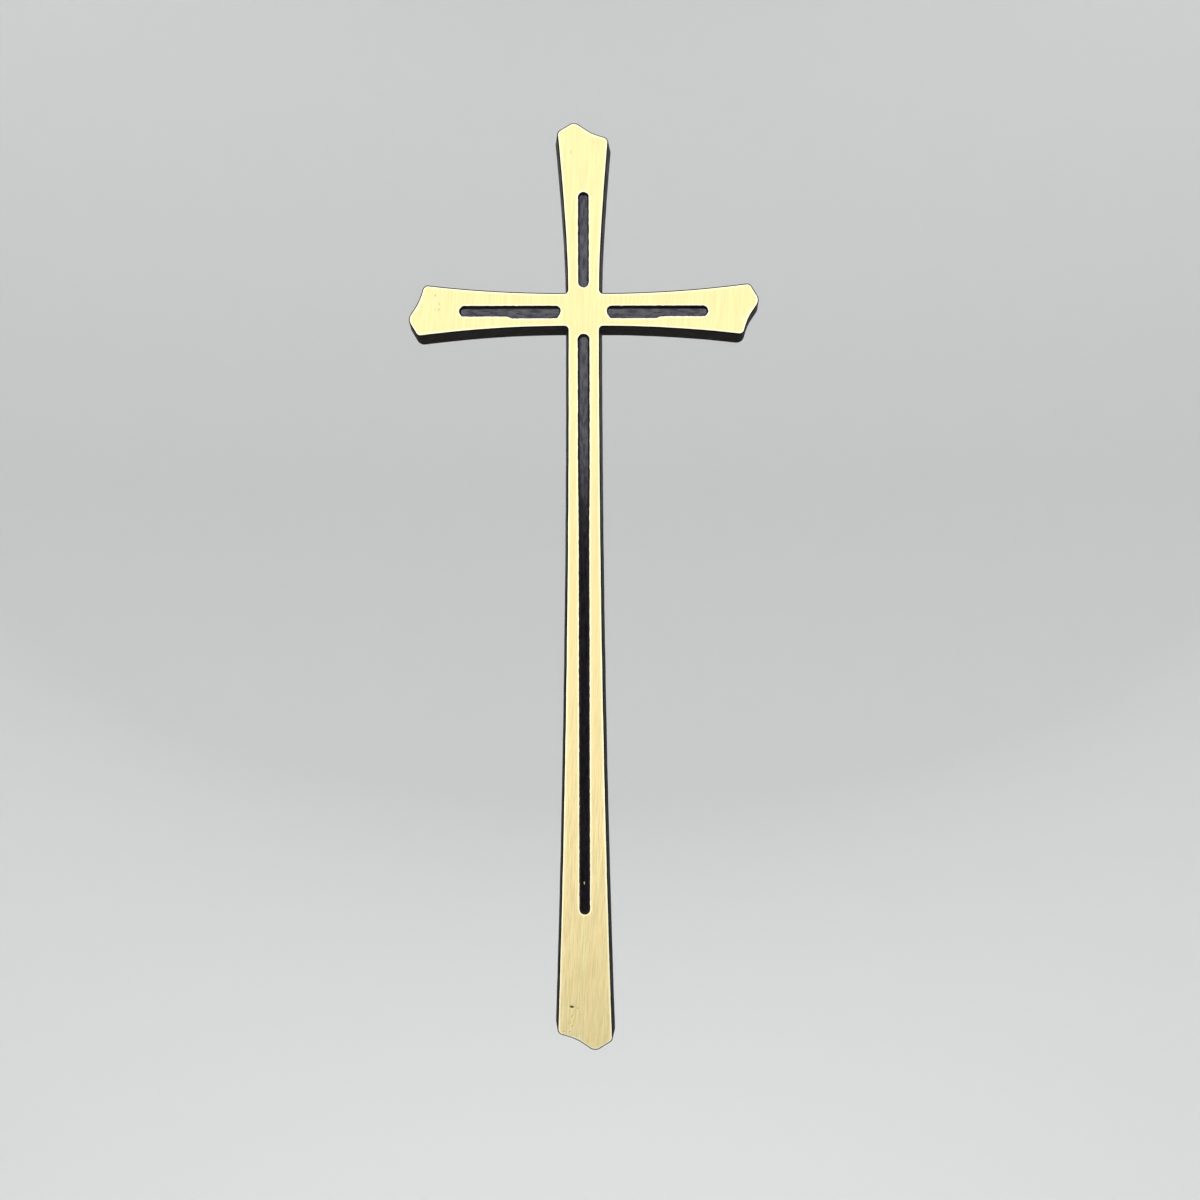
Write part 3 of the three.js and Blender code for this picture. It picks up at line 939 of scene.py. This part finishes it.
def build_cross():
    """The whole casting, as one piece."""
    arms = make_arms()
    corners = []
    for i, arm in enumerate(arms):
        corners += arm_corners(arm, arms[i - 1])
    outline = trace_outline(corners)
    skin = Skin()
    face_ring = build_body(skin, outline)
    grooves = [build_groove(skin, arm) for arm in arms]
    mouths = [mouth for mouth, groove in grooves]
    build_burr(skin)
    build_face(skin, outline, face_ring, mouths, [groove for mouth, groove in grooves])
    walls = wall_patina("wall patina", dark=(0.005, 0.0038, 0.0034), light=(0.011, 0.008, 0.006))
    # The groove walls get a paler copy of the wall patina: painted light that brightens walls lying in
    # the groove's shade
    groove_walls_painted_paler = wall_patina("groove wall patina painted paler", dark=(0.03, 0.021, 0.016),
                               light=(0.05, 0.034, 0.025))
    surface = make_mesh(skin, "cross surface",
                        [walls, groove_patina(), linished_bronze(), groove_walls_painted_paler])
    cross = baked(surface, "bronze_cross", foundry_skin_tree(), {
        "Skin Depth": 0.07 * MM,
        "Skin Size": 1.5 * MM,
        "Nodule Density": 60000.0,
        "Nodule Radius": 0.12 * MM,
        "Nodule Limit": BACK - 0.8 * MM,
        "Seed": SEED,
        "Patina": walls,
    })
    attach(cross, BODY)
    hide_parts(NODE)


def matte(name, colour):
    """A dull paint without any gloss."""
    material, tree = new_material(name)
    shader = add_node(tree, "ShaderNodeBsdfPrincipled", None, Roughness=0.85,
                      **{"Base Color": (*colour, 1), "Specular IOR Level": 0.0})
    add_node(tree, "ShaderNodeOutputMaterial", None, Surface=shader.outputs[0])
    return material


def build_studio():
    """A pale floor that sweeps up into walls all round."""
    profile = [(0.0, 0.0), (FLOOR_FLAT, 0.0)]
    for i in range(1, SWEEP_STEPS + 1):
        angle = math.pi / 2 * i / SWEEP_STEPS
        profile.append((FLOOR_FLAT + FLOOR_SWEEP * math.sin(angle),
                        FLOOR_SWEEP * (1 - math.cos(angle))))
    profile.append((FLOOR_FLAT + FLOOR_SWEEP, WALL_HEIGHT))
    places = [(0, 0, low[2] - FLOOR_DROP)]
    for radius, height in profile[1:]:
        for i in range(WALL_TURNS):
            angle = 2 * math.pi * i / WALL_TURNS
            places.append((radius * math.cos(angle), radius * math.sin(angle), places[0][2] + height))
    faces = [(0, 1 + i, 1 + (i + 1) % WALL_TURNS) for i in range(WALL_TURNS)]
    for ring in range(len(profile) - 2):
        start = 1 + ring * WALL_TURNS
        for i in range(WALL_TURNS):
            after = (i + 1) % WALL_TURNS
            faces.append((start + i, start + WALL_TURNS + i, start + WALL_TURNS + after, start + after))
    mesh = bpy.data.meshes.new("studio floor")
    mesh.from_pydata(places, [], faces)
    mesh.shade_smooth()
    mesh.materials.append(matte("pale floor", (0.66, 0.66, 0.65)))
    studio = bpy.data.objects.new("studio_floor", mesh)
    bpy.context.scene.collection.objects.link(studio)


def add_softbox(name, centre, facing, width, height, brightness, fills_room=True):
    """An even rectangular light. Its brightness is what a mirror would show.

    One that doesn't fill the room lights gloss and metal alone, and leaves no pool on the floor.
    """
    light = bpy.data.lights.new(name, "AREA")
    light.shape = "RECTANGLE"
    light.size = width
    light.size_y = height
    light.energy = brightness * math.pi * width * height
    softbox = bpy.data.objects.new(name, light)
    softbox.location = centre
    softbox.rotation_euler = Vector(facing).to_track_quat("-Z", "Y").to_euler()
    softbox.visible_camera = False
    softbox.visible_diffuse = fills_room
    bpy.context.scene.collection.objects.link(softbox)


def hang_dark_card():
    """A black card behind the camera that shows in reflections alone, where a photographer stands."""
    foot = low[2] - FLOOR_DROP
    corners = [(-GAP_HALF_WIDTH, foot), (-GAP_HALF_WIDTH, PANEL_EDGE),
               (GAP_HALF_WIDTH, PANEL_EDGE), (GAP_HALF_WIDTH, foot)]
    mesh = bpy.data.meshes.new("dark card")
    mesh.from_pydata([(x, -CARD_AWAY, z) for x, z in corners], [], [(0, 1, 2, 3)])
    mesh.materials.append(matte("black card", (0.13, 0.12, 0.13)))
    card = bpy.data.objects.new("dark_card", mesh)
    card.visible_camera = False
    card.visible_diffuse = False
    card.visible_shadow = False
    bpy.context.scene.collection.objects.link(card)


def light_studio():
    """Soft light from in front with a dark gap where the photographer stands, and some from behind."""
    upper_height = PANEL_TOP - PANEL_EDGE
    lower_height = PANEL_EDGE - PANEL_FOOT
    side_width = PANEL_HALF_WIDTH - GAP_HALF_WIDTH
    add_softbox("upper front softbox", (0, -PANEL_AWAY, PANEL_EDGE + upper_height / 2), (0, 1, 0),
                2 * PANEL_HALF_WIDTH, upper_height, UPPER_BRIGHTNESS, fills_room=False)
    for name, side in (("left", -1), ("right", 1)):
        place = (side * (GAP_HALF_WIDTH + side_width / 2), -PANEL_AWAY, PANEL_FOOT + lower_height / 2)
        add_softbox(name + " front softbox", place, (0, 1, 0), side_width, lower_height,
                    SIDE_BRIGHTNESS, fills_room=False)
    add_softbox("overhead softbox", (0, 0, OVERHEAD_HEIGHT), (0, 0, -1),
                OVERHEAD_WIDTH, OVERHEAD_WIDTH, OVERHEAD_BRIGHTNESS)
    add_softbox("back softbox", BACK_LIGHT_PLACE, BACK_LIGHT_FACING,
                BACK_LIGHT_WIDTH, BACK_LIGHT_HEIGHT, BACK_LIGHT_BRIGHTNESS)
    world = bpy.data.worlds.new("soft room")
    world.use_nodes = True
    background = world.node_tree.nodes["Background"]
    background.inputs["Color"].default_value = (0.93, 0.96, 1.0, 1)
    background.inputs["Strength"].default_value = ROOM_BRIGHTNESS
    bpy.context.scene.world = world


def place_camera():
    """A camera straight in front of the face, rolled a little as the photograph is."""
    camera_data = bpy.data.cameras.new("camera")
    camera_data.sensor_width = 36
    camera_data.lens = 35
    camera_data.clip_start = 0.01
    camera = bpy.data.objects.new("camera", camera_data)
    camera.location = (VIEW_ASIDE, FRONT - VIEW_DISTANCE, -VIEW_BELOW)
    level = Matrix.Rotation(math.pi / 2, 3, "X")
    camera.rotation_euler = (level @ Matrix.Rotation(-VIEW_ROLL, 3, "Z")).to_euler()
    bpy.context.scene.collection.objects.link(camera)
    bpy.context.scene.camera = camera


place_camera()
build_cross()
build_studio()
hang_dark_card()
light_studio()
bpy.context.scene.view_settings.view_transform = "Standard"
